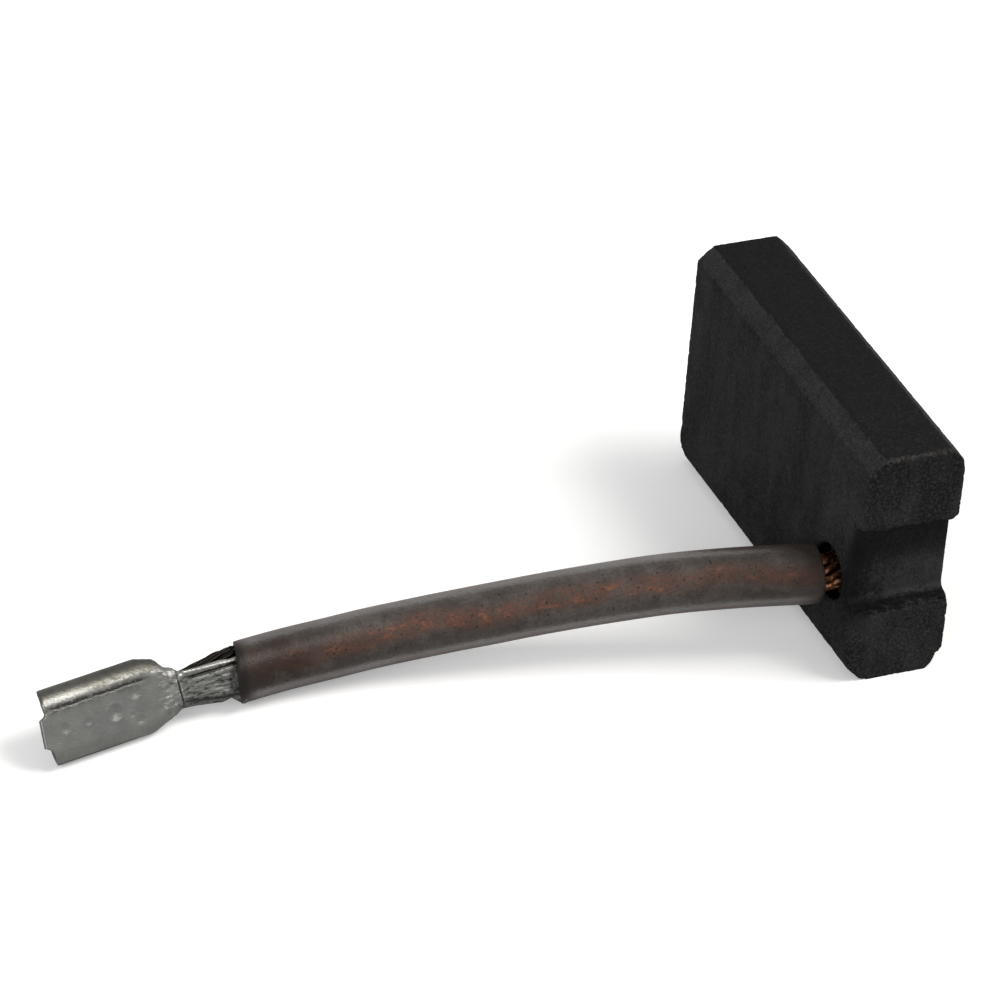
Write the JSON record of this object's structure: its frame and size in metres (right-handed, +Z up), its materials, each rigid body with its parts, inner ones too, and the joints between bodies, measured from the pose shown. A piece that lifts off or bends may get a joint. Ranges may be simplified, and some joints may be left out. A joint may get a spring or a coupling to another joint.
{
  "type": "carbon brush",
  "caption": "Rectangular graphite motor brush with a grooved spring end, a sleeved copper shunt lead and a crimped push-on tab receptacle.",
  "frame": {"origin": "bottom centre of the graphite block as it stands on its narrow long face", "axes": "+Z up; +Y along the block towards its contact end, so the grooved spring end faces -Y; the lead leaves the broad face on the -X side"},
  "size_m": [0.0436, 0.02, 0.0125],
  "materials": {
    "graphite": "dry pressed and ground graphite, matte charcoal with a faint grain",
    "tamped_copper": "dull tamped copper powder",
    "copper_strand": "stranded bare copper, slightly dulled",
    "sleeve_plastic": "smoky translucent flexible tube",
    "tinned_sheet": "satin tinned sheet, slightly worked at the crimp"
  },
  "bodies": {
    "root": {"brush_block": "graphite", "tamping_plug": "tamped_copper", "shunt_wire": "copper_strand", "sleeve": "sleeve_plastic", "terminal": "tinned_sheet"}
  },
  "joints": []
}
